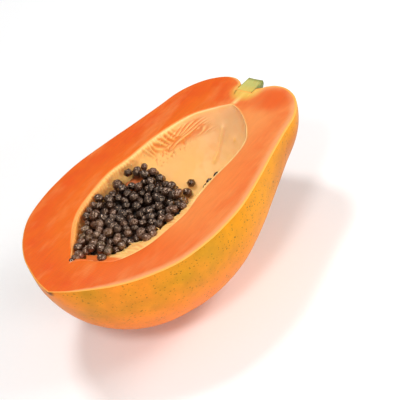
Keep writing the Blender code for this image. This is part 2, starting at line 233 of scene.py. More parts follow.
def makePiece(name, points, faces, materials, slots=None):
    # a smooth-shaded mesh whose faces point outwards
    mesh = bpy.data.meshes.new(name)
    mesh.from_pydata([tuple(p) for p in points], [], [tuple(f) for f in faces])
    for item in materials:
        mesh.materials.append(item)
    if slots is not None:
        mesh.polygons.foreach_set("material_index", slots)
    shape = bmesh.new()
    shape.from_mesh(mesh)
    bmesh.ops.recalc_face_normals(shape, faces=shape.faces)
    loose = sum(not edge.is_manifold for edge in shape.edges)
    shape.to_mesh(mesh)
    shape.free()
    mesh.shade_smooth()
    print(f"{name}: {len(mesh.vertices)} vertices, {len(mesh.polygons)} faces, {loose} open edges")
    return newObject(name, mesh)


def giveAttribute(piece, name, values):
    item = piece.data.attributes.new(name, "FLOAT", "POINT")
    item.data.foreach_set("value", np.asarray(values, np.float32).ravel())


def numbered(grid, first=0):
    # vertex numbers of a grid of points
    return first + np.arange(grid[..., 0].size).reshape(grid.shape[:2])


def quads(rows):
    # quads between each two neighbouring rows of vertex numbers
    a, b = rows[:-1, :-1], rows[:-1, 1:]
    c, d = rows[1:, 1:], rows[1:, :-1]
    return np.stack([a, b, c, d], axis=-1).reshape(-1, 4).tolist()


relief = {
    "toothStep": 0.0024,         # from one tooth of the band under the far rim to the next
    "toothHeight": 0.00085,
    "toothLength": 0.0068,
    "overEdge": 0.0020,          # how far the near band's fibres reach over its edge
    "shelfStep": 0.0021,
    "grooveDepth": 0.00040,
    "tearStep": 0.0019,
    "tear": 0.0019,
    "foldStep": 0.0038,          # folds near the stalk end of the band
    "foldHeight": 0.00140,
    "streakStep": 0.0020,
    "streakHeight": 0.00105,
    "pitSize": 0.0010,
    "pitDepth": 0.00080,
    "softHeight": 0.00045,
    # zones of the far wall: where each fades in and out from the tip on, and down from the far rim
    "folds": (0.128, 0.137, 0.150, 0.159, 0.0012, 0.0035, 0.0085, 0.0130),
    "streaks": (0.140, 0.148, 0.168, 0.177, 0.0030, 0.0055, 0.0130, 0.0175),
    "pits": (0.128, 0.138, 0.156, 0.166, 0.0100, 0.0130, 0.0170, 0.0210),
    # start, end, width, height and paleness
    "lumps": (((0.1755, -0.0062), (0.1590, -0.0045), 0.0013, 0.0012, 0.6),
              ((0.1725, 0.0051), (0.1725, 0.0051), 0.0015, 0.0010, 1.0)),
}


def outlineRows():
    shoulder = smoothLine(fruit["outline"]) * (fruit["length"], fruit["halfWidth"])
    rows = evenly(shoulder, fruit["rows"] - fruit["socketRows"])
    corners = [rows[-1], (fruit["socketLip"], fruit["socketRadius"]),
               (fruit["socketEnd"], fruit["socketRadius"]), (fruit["socketEnd"], 0.0)]
    for a, b, count in zip(corners, corners[1:], (3, 4, 5)):
        share = np.linspace(0, 1, count + 1)[1:, None]
        rows = np.vstack([rows, np.asarray(a) * (1 - share) + np.asarray(b) * share])
    return rows


def bellyTurns():
    edge = np.array([0, 0.006, 0.014, 0.024])
    middle = np.linspace(0.036, 0.964, fruit["bellySteps"] - 7)
    return math.pi * np.concatenate([edge, middle, 1 - edge[::-1]])


def skinGrid(outline):
    shares = smoothLine(fruit["bellyShares"])
    share = np.interp(outline[:, 0], shares[:, 0], shares[:, 1])
    blend = np.clip((outline[:, 1] - fruit["roundEnd"]) / fruit["roundBlend"], 0, 1)
    share = 1 + (share - 1) * blend
    turns = bellyTurns()
    radius = outline[:, 1:]
    across = radius * (1 + fruit["fullerNear"] * np.cos(turns)) * np.cos(turns)
    inSocket = np.arange(len(outline))[:, None] >= len(outline) - fruit["socketRows"] + 3
    across = np.where(inSocket & (across > 0), across * fruit["socketNear"], across)
    grid = placed(outline[:, :1], across, radius * share[:, None] * np.sin(turns))
    normal = gridNormals(grid)
    if (normal * (grid - [0, 0, cutHeight])).sum() < 0:
        normal = -normal
    lump = softNoise(grid, 0.045, 3) + 0.4 * softNoise(grid, 0.016, 4)
    fade = smoothStep(0, 0.014, cutHeight - grid[..., 2:])
    grid = grid + normal * fade * lump[..., None] * fruit["skinLump"]
    drop = fruit["edgeRound"] * np.clip(radius[:, 0] / 0.03, 0, 1)
    grid[:, 0, 2] -= drop
    grid[:, -1, 2] -= drop
    grid[..., 2] = np.maximum(grid[..., 2], 0)
    return grid


def rimRows(side, rows):
    return evenly(smoothLine((cavity["tip"], *cavity[side], cavity["end"])), rows)


def wallSections(rows, steps, inset=0.0):
    # points across the cavity for each row, from the near rim down its wall and up to the far rim
    near, far = rimRows("nearRim", rows)[1:-1], rimRows("farRim", rows)[1:-1]
    turns = np.linspace(0, math.pi, 121)
    cos, sin = np.cos(turns), np.sin(turns)
    sin[-1] = 0
    share = (1 - cos) / 2
    middle = (near[:, 1:] + far[:, 1:]) / 2
    room = np.maximum((near[:, 1:] - far[:, 1:]) / 2 - inset, inset / 2)
    lips = np.array(cavity["lipWidths"])
    nearLip = np.minimum(np.interp(near[:, :1], lips[:, 0], lips[:, 1]), room * cavity["lipMost"])
    farLip = np.minimum(np.interp(far[:, :1], lips[:, 0], lips[:, 2]), room * cavity["lipMost"])
    half = room - (nearLip + farLip) / 2
    top = nearLip * cavity["nearLipSlope"] * (1 - share) + farLip * cavity["farLipSlope"] * share
    power = 2 / cavity["roundness"]
    across = middle + (farLip - nearLip) / 2 + np.sign(cos) * np.abs(cos) ** power * half
    under = top + (half * cavity["depthShare"] - top) * sin ** power - inset
    fromTip = near[:, :1] + (far[:, :1] - near[:, :1]) * share
    walls = placed(fromTip, across, under)
    nearEdge = placed(near[:, :1], middle + room, -3 * inset)
    farEdge = placed(far[:, :1], middle - room, -3 * inset)
    walls = np.concatenate([nearEdge, walls, farEdge], axis=1)
    return np.stack([evenly(wall, steps) for wall in walls])


def reachAlong(grid, axis):
    steps = np.linalg.norm(np.diff(grid, axis=axis), axis=-1)
    start = np.zeros_like(np.take(steps, [0], axis=axis))
    return np.cumsum(np.concatenate([start, steps], axis=axis), axis=axis)


def wallNormals(grid):
    # normals of the cavity's wall, into the cavity
    normal = gridNormals(grid)
    inwards = np.array([0, 0, cutHeight]) - grid
    return normal if (normal[:, 60:-60] * inwards[:, 60:-60]).sum() > 0 else -normal


def liningGrid():
    # the cavity's wall with its teeth, folds, streaks and pits, how fibrous each point is, and how
    # much painted shade it gets for lying deep in a groove or pit
    grid = wallSections(fruit["rows"], fruit["wallSteps"])
    lips = np.array(cavity["lipWidths"])
    fromTip = onFruit(grid)[0]
    lip = np.interp(fromTip[:, :1], lips[:, 0], lips[:, 1])
    fromNear = reachAlong(grid, 1)
    rim = reachAlong(grid[:, :1], 0)
    # the edge of the near band is torn: its points move in and out, those around it less
    step = relief["tearStep"]
    torn = 0.6 * softNoise(rim, step, 11) + 0.8 * softNoise(rim, step * 3.1, 12)
    torn = torn[:, None] * np.minimum(relief["tear"], 0.3 * lip)
    weight = np.where(fromNear < lip, fromNear / lip, 1 - smoothStep(0, 0.0045, fromNear - lip))
    grid[..., 1] += torn * np.clip(weight, 0, 1)
    tongue = smoothStep(0.0412, 0.0388, fromTip) * (1 - smoothStep(lip, lip + 0.002, fromNear))
    for _ in range(3):           # softens the turn from the lip into the steep wall
        grid[:, 1:-1] = (grid[:, :-2] + 2 * grid[:, 1:-1] + grid[:, 2:]) / 4
    normal = wallNormals(grid)

    fromTip, across, _ = onFruit(grid)
    fromNear = reachAlong(grid, 1)
    fromFar = fromNear[:, -1:] - fromNear
    rim = reachAlong(grid[:, -1:], 0)
    flat = np.stack([rim + 0 * fromFar, fromFar], axis=-1)

    # height, fibre and painted shade for each point; the shade is deepest in grooves and pits
    height, fibre, creaseShade = np.zeros((3, *fromTip.shape))

    def press(rise, raised=0.0, creaseShadeShare=0.0):
        nonlocal height, fibre, creaseShade
        height = height + rise
        fibre, creaseShade = np.maximum(fibre, raised), np.maximum(creaseShade, creaseShadeShare)

    def teeth(down, longest, seed, step):
        place = np.stack([rim + 0 * down, down], axis=-1)
        tooth = rim / step + softNoise(place / (1, 2.5), 0.0045, seed) * 0.9
        reach = longest * (1 + 0.45 * softNoise(np.floor(tooth)[..., None] * 0.37, 0.5, seed + 1))
        band = smoothStep(0.0003, 0.0014, down) * (1 - smoothStep(0.45 * reach, reach, down))
        return wave(tooth, 0.8) * band, band

    def zone(name):
        a, b, c, d, e, f, g, h = relief[name]
        part = smoothStep(a, b, fromTip) * (1 - smoothStep(c, d, fromTip))
        return part * smoothStep(e, f, fromFar) * (1 - smoothStep(g, h, fromFar)) * (across < 0)

    ridge, band = teeth(fromFar, relief["toothLength"], 21, relief["toothStep"])
    along = smoothStep(0.024, 0.045, fromTip) * (1 - smoothStep(0.140, 0.156, fromTip))
    press(relief["toothHeight"] * ridge * along, band * along * (0.45 + 0.55 * ridge),
          band * along * (1 - ridge) ** 2 * 0.8)

    # on the near side the fibres lie on the level band and hang over its edge
    shelf = lip + relief["overEdge"]
    ridge = teeth(fromNear, shelf / 0.75, 31, relief["shelfStep"])[0]
    band = smoothStep(0, 0.0008, fromNear) * (1 - smoothStep(shelf, shelf * 1.4, fromNear))
    along = smoothStep(0.0385, 0.0430, fromTip) * (1 - smoothStep(0.100, 0.160, fromTip) * 0.7)
    patchy = smoothStep(-0.3, 0.5, softNoise(flat, 0.0042, 33))
    press(-relief["grooveDepth"] * (1 - ridge) * band * along,
          band * along * (0.30 + 0.45 * ridge) * (0.55 + 0.6 * patchy),
          band * along * (1 - ridge) * (0.75 - 0.5 * patchy))

    tilted = (flat[..., 0] - 0.6 * flat[..., 1]) / relief["foldStep"]
    fold, patch = wave(tilted + 0.8 * softNoise(flat / (1, 2), 0.006, 41), 1.3), zone("folds")
    press(relief["foldHeight"] * fold * patch, patch * fold, patch * (1 - fold))

    streak = (flat[..., 1] + 0.25 * flat[..., 0]) / relief["streakStep"]
    broken = smoothStep(-0.45, 0.15, softNoise(flat / (2.6, 1), 0.0022, 52))
    strand = wave(streak + 0.8 * softNoise(flat / (4, 1), 0.0030, 51), 1.5) * broken
    patch = zone("streaks")
    press(relief["streakHeight"] * strand * patch, 0.7 * patch * strand, patch * (1 - strand))

    pits, patch = smoothStep(0.18, 0.55, softNoise(grid, relief["pitSize"], 61)), zone("pits")
    press(-relief["pitDepth"] * pits * patch, creaseShadeShare=0.9 * patch * pits)

    # one low ridge and one bump near the stalk
    place = np.stack([fromTip, across], axis=-1)
    for start, end, width, rise, pale in relief["lumps"]:
        start, span = np.array(start), np.array(end) - start
        share = np.clip(((place - start) @ span) / max(span @ span, 1e-12), 0, 1)
        away = np.linalg.norm(place - start - share[..., None] * span, axis=-1)
        lump = np.exp(-(away / width) ** 2)
        press(rise * lump, pale * lump)

    press(relief["softHeight"] * softNoise(grid, 0.011, 71))
    press(relief["softHeight"] * 0.40 * softNoise(grid, 0.0036, 72))
    ends = smoothStep(0, 7, np.arange(len(grid)))[:, None]
    ends = ends * ends[::-1]
    sides = smoothStep(0, 0.0015, np.minimum(fromNear, fromFar))
    grid = grid + normal * (height * ends * sides)[..., None]
    return grid, fibre, creaseShade, tongue


def capped(ids, first, last):
    # the faces of a grid, closed by a fan to one more vertex at each end
    caps = [(first, b, a) for a, b in zip(ids[0], ids[0, 1:])]
    return quads(ids) + caps + [(last, a, b) for a, b in zip(ids[-1], ids[-1, 1:])]


def nearestOn(line, points):
    # distance from each point to the nearest of a dense line of points
    tree = KDTree(len(line))
    for k, p in enumerate(line):
        tree.insert((p[0], p[1], 0), k)
    tree.balance()
    return np.array([tree.find((p[0], p[1], 0))[2] for p in points])


def buildFruit():
    outline = outlineRows()
    skin = skinGrid(outline[1:-1])
    lining, fibre, creaseShade, tongue = liningGrid()
    tip, notch = placed(outline[0, 0], 0, 0), placed(outline[-1, 0], 0, 0)
    slit, end = placed(*cavity["tip"], 0), placed(*cavity["end"], 0)
    outer = np.vstack([tip, skin[:, 0], notch, skin[::-1, -1]])
    inner = np.vstack([slit, lining[:, 0], end, lining[::-1, -1]])
    width = np.linalg.norm((outer - inner)[:, :2], axis=1)
    outerDrop = cutHeight - outer[:, 2]
    innerDrop = fruit["rimRound"] * smoothStep(0, 12, np.minimum(
        np.arange(len(inner)) % (len(skin) + 1), -np.arange(len(inner)) % (len(skin) + 1)))

    skinSide, rimSide, steps = fruit["skinSide"], fruit["rimSide"], fruit["faceSteps"]
    shares = [at / width for at, _ in skinSide]
    low, high = shares[-1], 1 - rimSide[0][0] / width
    middle = [low + (high - low) * k / steps for k in range(1, steps)]
    shares = shares + middle + [1 - at / width for at, _ in rimSide]
    drops = [outerDrop * part for _, part in skinSide] + [0 * width] * len(middle)
    drops = drops + [innerDrop * part for _, part in rimSide]
    loops = []
    for share, drop in zip(shares, drops):
        loop = outer + (inner - outer) * share[:, None]
        loop[:, 2] = cutHeight - drop
        lump = softNoise(loop[:, :2], 0.016, 81) + 0.45 * softNoise(loop[:, :2], 0.0055, 82)
        calm = smoothStep(0, 0.006, share * width) * smoothStep(0, 0.004, (1 - share) * width)
        loop[:, 2] += fruit["faceLump"] * lump * calm
        loops.append(loop)
    inner[:, 2] -= innerDrop
    lining[:, 0, 2] = inner[1:len(skin) + 1, 2]
    lining[:, -1, 2] = inner[:len(skin) + 1:-1, 2]

    points = np.vstack([tip, notch, slit, end, skin.reshape(-1, 3), lining.reshape(-1, 3), *loops])
    skinIds = numbered(skin, 4)
    liningIds = numbered(lining, skinIds[-1, -1] + 1)
    start = liningIds[-1, -1] + 1
    loopIds = [start + k * len(outer) + np.arange(len(outer)) for k in range(len(loops))]
    outerIds = np.concatenate([[0], skinIds[:, 0], [1], skinIds[::-1, -1]])
    innerIds = np.concatenate([[2], liningIds[:, 0], [3], liningIds[::-1, -1]])

    skinFaces, liningFaces = capped(skinIds, 0, 1), capped(liningIds, 2, 3)
    rings = np.array([outerIds, *loopIds, innerIds])
    faceFaces = quads(np.hstack([rings, rings[:, :1]]))
    slots = [0] * len(skinFaces) + [1] * len(faceFaces) + [2] * len(liningFaces)
    piece = makePiece("papayaFlesh", points, skinFaces + faceFaces + liningFaces,
                      [waxyRind(), cutFlesh(), moistLining()], slots)

    count = len(points)
    fromSkin, fromRim, rim = np.zeros(count), *np.full((2, count), fruit["farOff"])
    fromSkin[2:4] = fromSkin[liningIds] = fruit["farOff"]
    fromRim[2:4] = fromRim[liningIds] = 0
    skinEdge, rimEdge = (evenly(np.vstack([edge[:, :2], edge[:1, :2]]), fruit["edgeSamples"])
                         for edge in (outer, inner))
    fromSkin[start:], fromRim[start:] = (nearestOn(edge, points[start:]) for edge in (skinEdge, rimEdge))
    fromSkin[innerIds], fromRim[outerIds] = nearestOn(skinEdge, inner), nearestOn(rimEdge, outer)
    rim[liningIds] = np.minimum(reachAlong(lining, 1), reachAlong(lining[:, ::-1], 1)[:, ::-1])
    rim[2:4] = 0
    for name, values in (("fromSkin", fromSkin), ("fromRim", fromRim), ("downWall", rim)):
        giveAttribute(piece, name, values)
    lengths = reachAlong(outline[1:-1, None], 0)[:, 0]
    for name, ids, values in (
            ("fibre", liningIds, fibre), ("creaseShade", liningIds, creaseShade), ("tongue", liningIds, tongue),
            ("downSkin", skinIds, reachAlong(skin, 1)), ("alongSkin", skinIds, lengths[:, None])):
        whole = np.zeros(count)
        whole[ids] = values
        giveAttribute(piece, name, whole)
    return piece, lining


skinLook = {
    # the tan colour is painted shade for the upper skin towards the stalk, where it turns from the lamps
    "gold": "F28824", "ochre": "C28616", "yellow": "DA8C00", "amber": "F4842E", "paintedShadeTan": "C46E08",
    "freckle": "4E4410", "scar": "4A2E18",
    "patchSize": 0.045, "mottleSize": 0.009, "groupSize": 0.008, "poreSize": 0.0007,
    # two sizes of cell of the unrolled skin, each with the share unmarked and the largest mark
    "freckles": ((0.0020, 0.10, 0.22), (0.0054, 0.50, 0.12)),
    "roughness": 0.40,
}
fleshLook = {
    "far": "F06A00", "farDeep": "EA5400", "nearDeep": "F07430",
    "nearLow": "EE6614", "nearMiddle": "F4863C", "nearHigh": "F6944C",
    "peach": "F8AA6E", "rindLine": "F9AC4C", "rimLine": "FBB465", "core": "FFC27A", "cloud": "F79A52",
    "blush": "EC5E14", "stalkEnd": "E2BC4E",
    "mottleSize": 0.011, "fibreWidth": 0.0007, "fibreLength": 0.011, "cutMarkStep": 0.0011,
    "cloudLength": 0.034, "cloudWidth": 0.013,
    "blushPlace": (0.0911, -0.0236), "stalkFoot": 0.0945,
    "roughness": 0.52,
}
liningLook = {
    # the deep orange of grooves and pits below is painted shade
    "apricot": "FFC678", "pink": "FFC890", "fibre": "FDBC6A", "creaseShade": "E0761E",
    "deep": "FDB160", "flushed": "F58E3E", "rimLine": "FFCC88", "tongue": "F0752E",
    "mottleSize": 0.008, "grainSize": 0.0009,
    "roughness": 0.46,
}
# settings that many nodes share
smooth = {"interpolation_type": "SMOOTHSTEP"}
rgba = {"data_type": "RGBA"}


def newMaterial(name, settings):
    # a material, what adds its nodes, its place on the object, and its settings with linear colours
    made = bpy.data.materials.new(name)
    made.use_nodes = True
    add = partial(addNode, made.node_tree)
    look = {key: linear(item) if isinstance(item, str) else item for key, item in settings.items()}
    return made, add, add("TexCoord").outputs["Object"], look


def finished(made, values):
    shader = made.node_tree.nodes["Principled BSDF"]
    fill(made.node_tree, [(shader.inputs[name], value) for name, value in values.items()])
    return made


def waxyRind():
    # Ripe papaya rind, grown with a thin wax bloom: satin, in soft fields of gold, ochre and amber,
    # with small green-brown freckles and fine pores.
    made, add, place, look = newMaterial("waxyRind", skinLook)
    x, _, z = add("SeparateXYZ", place).outputs
    fields = add("TexNoise", place, 1 / look["patchSize"], 2.0, 0.5)
    mottle = add("TexNoise", place, 1 / look["mottleSize"], 5.0, 0.62)
    # the side towards the stalk is ochre and yellow, the blossom end gold, the underside amber
    along = add("MapRange", x, -0.07, 0.06, **smooth)
    wander = add("Math MULTIPLY_ADD", fields, 1.1, along)
    tone = add("ValToRGB", wander, stops=[
        (0.42, look["gold"]), (1.0, look["yellow"]), (0.72, look["ochre"])])
    lower = add("MapRange", z, 0.066, 0.026, **smooth)
    patchwork = add("Math ADD", fields, 0.40)
    amberShare = add("MapRange", x, -0.040, 0.040, 1.0, 0.30)
    amberHere = add("Math MULTIPLY", lower, amberShare)
    lowerMix = add("Math MULTIPLY", amberHere, patchwork, use_clamp=True)
    # painted shade: a darker tan band along the top of the skin towards the stalk, where the skin turns
    # away from the lamps
    paintedShadeAlong = add("MapRange", x, 0.025, 0.065)
    paintedShadeDown = add("MapRange", z, 0.0740, 0.0640)
    paintedShadeShare = add("Math MULTIPLY", paintedShadeAlong, paintedShadeDown)
    for share, colour in ((lowerMix, "amber"), (paintedShadeShare, "paintedShadeTan")):
        tone = add("Mix", share, tone, look[colour], **rgba)
    shade = add("MapRange", mottle, 0.3, 0.7, 0.86, 1.08)
    tone = add("Mix", 1.0, tone, shade, **rgba, blend_type="MULTIPLY")
    # freckles and fewer larger spots, in cells of the unrolled skin of which only some are marked
    girth, lengthwise = (add("Attribute", attribute_name=name).outputs["Fac"]
                         for name in ("downSkin", "alongSkin"))
    region = add("MapRange", wander, 0.50, 0.90, 0.50)
    groups = add("TexNoise", place, 1 / look["groupSize"], 2.0, 0.6)
    grouped = add("MapRange", groups, 0.40, 0.54, 0.15)
    inGroup = add("Math MULTIPLY", region, grouped)
    drawn = add("Math MULTIPLY", lengthwise, 0.7)
    shifted = add("Math MULTIPLY_ADD", mottle, 0.0045, girth)
    unrolled = add("CombineXYZ", drawn, shifted)
    for cell, few, largest in look["freckles"]:
        cells = add("TexVoronoi", unrolled, 1 / cell, voronoi_dimensions="2D")
        chosen = add("SeparateColor", cells.outputs["Color"])
        size = add("MapRange", chosen, few, 1.0, 0.0, largest)
        dot = add("Math SUBTRACT", size, cells)
        dotShape = add("MapRange", dot, -0.01, 0.05, 0.0, 0.85)
        marked = add("Math GREATER_THAN", chosen, few)
        share = add("Math MULTIPLY", dotShape, inGroup)
        dots = add("Math MULTIPLY", share, marked)
        tone = add("Mix", dots, tone, look["freckle"], **rgba)
    # the scar of the blossom at the tip
    tip = (-fruit["length"] / 2, middleAcross, cutHeight - 0.001)
    fromScar = add("VectorMath DISTANCE", place, tip)
    scar = add("MapRange", fromScar, 0.0040, 0.0016, 0.0, 0.85)
    tone = add("Mix", scar, tone, look["scar"], **rgba)
    gloss = add("MapRange", mottle, None, None, look["roughness"] - 0.08, look["roughness"] + 0.10)
    pores = add("TexNoise", place, 1 / look["poreSize"], 2.0)
    fine = add("Bump", 0.25, 0.00006, None, pores)
    return finished(made, {
        "Base Color": tone, "Roughness": gloss, "Specular IOR Level": 0.10,
        "Subsurface Weight": 0.04, "Subsurface Radius": (1.0, 0.45, 0.15), "Subsurface Scale": 0.003,
        "Normal": add("Bump", 0.5, 0.0004, None, mottle, fine)})


def cutFlesh():
    # Ripe papaya flesh, cut with a knife: moist and smooth, orange on the far side and salmon on the
    # near side, paler under the rind, with fine pale fibres and faint marks of the blade.
    made, add, place, look = newMaterial("cutFlesh", fleshLook)
    x, y, _ = add("SeparateXYZ", place).outputs
    fromSkin, fromRim = (add("Attribute", attribute_name=name).outputs["Fac"]
                         for name in ("fromSkin", "fromRim"))
    mottle = add("TexNoise", place, 1 / look["mottleSize"], 4.0, 0.55)
    wander = add("Math MULTIPLY_ADD", mottle, 0.024, y)
    # near side at low Y; towards the stalk the salmon reaches further over
    slant = add("Math MULTIPLY_ADD", x, -0.16, wander)
    side = add("MapRange", slant, 0.030, -0.022, **smooth)
    fruitwards = add("MapRange", x, -0.065, 0.070)
    nearTone = add("ValToRGB", fruitwards, stops=[
        (0.06, look["nearLow"]), (0.95, look["nearHigh"]), (0.28, look["nearMiddle"]),
        (0.68, look["nearMiddle"])])
    base = add("Mix", side, look["far"], nearTone, **rgba)
    deep = add("Mix", side, look["farDeep"], look["nearDeep"], **rgba)
    outer = add("ValToRGB", fromSkin, stops=[(0.001, 0.35), (0.024, 0.0), (0.006, 0.9), (0.012, 0.8)])
    deepAmount = add("MapRange", mottle, 0.35, 0.62, 0.45)
    deepShare = add("Math MULTIPLY", outer, deepAmount)
    # soft pale clouds, drawn out along the fruit
    drawn = add("Mapping", place, None, (0.0, 0.0, 0.5), (
        1 / look["cloudLength"], 1 / look["cloudWidth"], 1 / look["cloudWidth"]))
    clouds = add("TexNoise", drawn, 1.0, 4.0, 0.6)
    cloudShare = add("MapRange", clouds, 0.50, 0.72, 0.0, 0.45)
    # pale band under the rind, broad on the near side
    reach = add("MapRange", side, None, None, 0.0006, 0.0062)
    inBand = add("Math DIVIDE", fromSkin, reach)
    bandShape = add("MapRange", inBand, 1.0, 0.25, 0.0, 0.85, **smooth)
    # a redder place on the near shoulder
    fromBlush = add("VectorMath DISTANCE", place, (*look["blushPlace"], cutHeight))
    blushWander = add("Math MULTIPLY_ADD", mottle, 0.012, fromBlush)
    blushShape = add("MapRange", blushWander, 0.0240, 0.0110, 0.0, 0.85, **smooth)
    tone = base
    for share, colour in ((deepShare, deep), (cloudShare, look["cloud"]), (bandShape, look["peach"]),
                          (blushShape, look["blush"])):
        tone = add("Mix", share, tone, colour, **rgba)
    # fine fibres that run along the fruit
    stretched = add("Mapping", place, None, None, (
        1 / look["fibreLength"], 1 / look["fibreWidth"], 1 / look["fibreWidth"]))
    fibres = add("TexNoise", stretched, 1.0, 3.0, None, None, 0.6)
    fibreShade = add("MapRange", fibres, 0.3, 0.75, 0.83, 0.95)
    tone = add("Mix", 1.0, tone, fibreShade, **rgba, blend_type="MULTIPLY")
    # pale core between the cavity and the stalk, and yellow-green flesh against the stalk
    fromMiddle = add("Math SUBTRACT", y, middleAcross)
    offLine = add("Math ABSOLUTE", fromMiddle)
    line = add("MapRange", offLine, 0.0030, 0.0004)
    stalkwards = add("MapRange", x, 0.0780, 0.0805)
    lineShape = add("Math MULTIPLY", line, stalkwards)
    lineSharp = add("Math POWER", lineShape, 1.2)
    foot = (look["stalkFoot"], middleAcross, cutHeight)
    fromFoot = add("VectorMath DISTANCE", place, foot)
    byStalk = add("MapRange", fromFoot, 0.0125, 0.0070, 0.0, 0.75)
    # thin lines along the rind and along the cavity, none at the slit
    rindReach = add("MapRange", side, None, None, 0.0009, 0.0019)
    rindPlace = add("Math DIVIDE", fromSkin, rindReach)
    rindShape = add("MapRange", rindPlace, 1.0, 0.45, 0.0, 0.9, **smooth)
    rimShape = add("MapRange", fromRim, 0.0011, 0.0002, 0.0, 0.75)
    pastSlit = add("MapRange", x, -0.072, -0.062)
    rimHere = add("Math MULTIPLY", rimShape, pastSlit)
    for share, colour in ((lineSharp, "core"), (byStalk, "stalkEnd"), (rindShape, "rindLine"),
                          (rimHere, "rimLine")):
        tone = add("Mix", share, tone, look[colour], **rgba)
    wet = add("MapRange", fibres, None, None, look["roughness"] - 0.10, look["roughness"] + 0.12)
    # marks of the blade, clearest at the blossom end; a wave of scale 0.314 is one metre long
    marks = add("TexWave", place, 0.314 / look["cutMarkStep"], 6.0, 3.0, 0.02,
                wave_type="BANDS", bands_direction="DIAGONAL")
    blossomwards = add("MapRange", x, -0.055, -0.085, 0.12)
    markHeight = add("Math MULTIPLY", marks.outputs["Fac"], blossomwards)
    bladeBump = add("Bump", 0.35, 0.0002, None, markHeight)
    return finished(made, {
        "Base Color": tone, "Roughness": wet, "Specular IOR Level": 0.30,
        "Subsurface Weight": 0.15, "Subsurface Radius": (1.0, 0.40, 0.15), "Subsurface Scale": 0.004,
        "Normal": add("Bump", 0.35, 0.00025, None, fibres, bladeBump)})


def moistLining():
    # The membrane that lines the cavity, left as it grew: moist and soft, apricot with pale yellow
    # fibres that held the seeds and pinkish towards the stalk. Deeper orange in the grooves and pits is
    # painted shade, and the pale band under the rim towards the stalk end is partly painted light.
    made, add, place, look = newMaterial("moistLining", liningLook)
    x, y, _ = add("SeparateXYZ", place).outputs
    fibre, creaseShade, down, tongue = (add("Attribute", attribute_name=name).outputs["Fac"]
                                   for name in ("fibre", "creaseShade", "downWall", "tongue"))
    mottle = add("TexNoise", place, 1 / look["mottleSize"], 4.0, 0.55)
    wander = add("Math MULTIPLY_ADD", mottle, 0.02, x)
    stalkwards = add("MapRange", wander, 0.052, 0.090, **smooth)
    tint = add("MapRange", mottle, 0.55, 0.75, 0.0, 0.5)
    # painted shade: grooves and pits are coloured deeper orange for the shade that falls in them
    creaseShadeShare = add("Math MULTIPLY", creaseShade, 0.75)
    raised = add("MapRange", fibre, 0.35, 0.95, 0.0, 0.8)
    # the far wall is redder towards the blossom end
    blossomwards = add("MapRange", wander, 0.012, -0.040, 0.0, 0.75)
    onFarWall = add("MapRange", y, -0.008, 0.010)
    flush = add("Math MULTIPLY", blossomwards, onFarWall)
    # pale band just under the rim: partly the membrane's own pale rim, partly painted light, widened
    # towards the stalk end where the steep wall turns away from the lamps
    rimShape = add("MapRange", down, 0.0032, 0.0005, 0.0, 0.8)
    pastSlit = add("MapRange", x, -0.025, 0.045)
    offTongue = add("Math SUBTRACT", pastSlit, tongue, use_clamp=True)
    paintedLightRim = add("Math MULTIPLY", rimShape, offTongue)
    tone = look["apricot"]
    for share, colour in ((stalkwards, "pink"), (tint, "deep"), (creaseShadeShare, "creaseShade"), (raised, "fibre"),
                          (flush, "flushed"), (tongue, "tongue"), (paintedLightRim, "rimLine")):
        tone = add("Mix", share, tone, look[colour], **rgba)
    grain = add("TexNoise", place, 1 / look["grainSize"], 3.0, None, None, 0.8)
    return finished(made, {
        "Base Color": tone, "Roughness": look["roughness"], "Specular IOR Level": 0.35,
        "Subsurface Weight": 0.50, "Subsurface Radius": (1.0, 0.70, 0.40), "Subsurface Scale": 0.006,
        "Normal": add("Bump", 0.30, 0.00025, None, grain)})


seedLook = {
    # the pale violet seed colour is painted highlight on the wrinkle crests
    "black": "100704", "dark": "2C1608", "brown": "543018", "olive": "4A3616", "paintedSheenGrey": "A88C86",
    # the near-black pulp colour is painted shade for the gaps between the seeds
    "gloss": "FFD2AC", "pulp": "140804", "pulpRed": "6A2C12", "pulpLight": "D4692A",
    "wrinkleSize": 0.0017, "fleckSize": 0.006, "roughness": 0.17,
}


def wetSeedCoat():
    # Papaya seeds, as they grew: a wrinkled near-black seed in a clear wet jelly coat. The coat gives
    # small soft highlights, a pale violet sheen on the wrinkle crests is painted highlight, and each
    # seed has its own tone.
    made, add, place, look = newMaterial("wetSeedCoat", seedLook)
    tone = add("Attribute", attribute_name="tone").outputs["Fac"]
    # the tone carries painted shade and painted sheen besides each seed's own colour
    own = add("ValToRGB", tone, stops=[
        (0.0, look["black"]), (1.0, look["olive"]), (0.32, look["dark"]), (0.75, look["brown"])])
    wrinkles = add("TexNoise", place, 1 / look["wrinkleSize"], 2.0, None, None, 1.0)
    offMiddle = add("Math SUBTRACT", wrinkles, 0.5)
    fold = add("Math ABSOLUTE", offMiddle)
    # painted highlight: a pale violet sheen painted on the wrinkle crests, more for seeds of higher tone
    paintedSheenAmount = add("MapRange", tone, 0.25, 1.0, 0.04, 0.40)
    crest = add("MapRange", fold, 0.05, 0.15)
    paintedSheenShare = add("Math MULTIPLY", crest, paintedSheenAmount)
    bump = add("Bump", 0.8, 0.00012, None, add("MapRange", fold, 0.0, 0.16))
    return finished(made, {
        "Base Color": add("Mix", paintedSheenShare, own, look["paintedSheenGrey"], **rgba),
        "Roughness": look["roughness"], "IOR": 1.90, "Specular Tint": look["gloss"],
        "Coat Weight": 0.5, "Coat Roughness": 0.06, "Normal": bump, "Coat Normal": bump})


